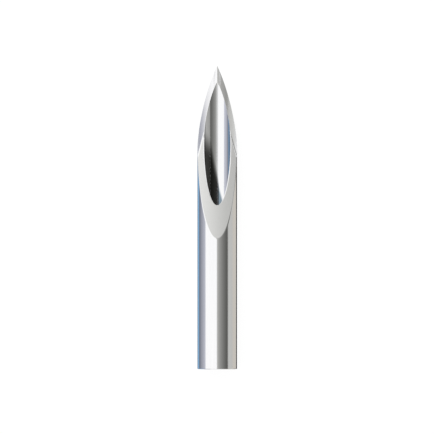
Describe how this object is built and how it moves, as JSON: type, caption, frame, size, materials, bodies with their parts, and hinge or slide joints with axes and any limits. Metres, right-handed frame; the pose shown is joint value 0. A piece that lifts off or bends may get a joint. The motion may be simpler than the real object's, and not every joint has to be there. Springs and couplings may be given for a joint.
{
  "type": "pen needle cannula",
  "caption": "Short piece of thin-walled stainless steel needle tube, cut square at one end and ground to a sharp lancet point with an open bevel at the other.",
  "frame": {"origin": "centre of the square-cut end, on the tube's axis", "axes": "+Y along the tube towards the tip, +Z the way the open bevel faces; the tube lies on its back, as it rests on a table"},
  "size_m": [0.0004, 0.0025, 0.0004],
  "materials": {
    "steel": "electropolished, mirror bright"
  },
  "bodies": {
    "root": {"cannula": "steel"}
  },
  "joints": []
}
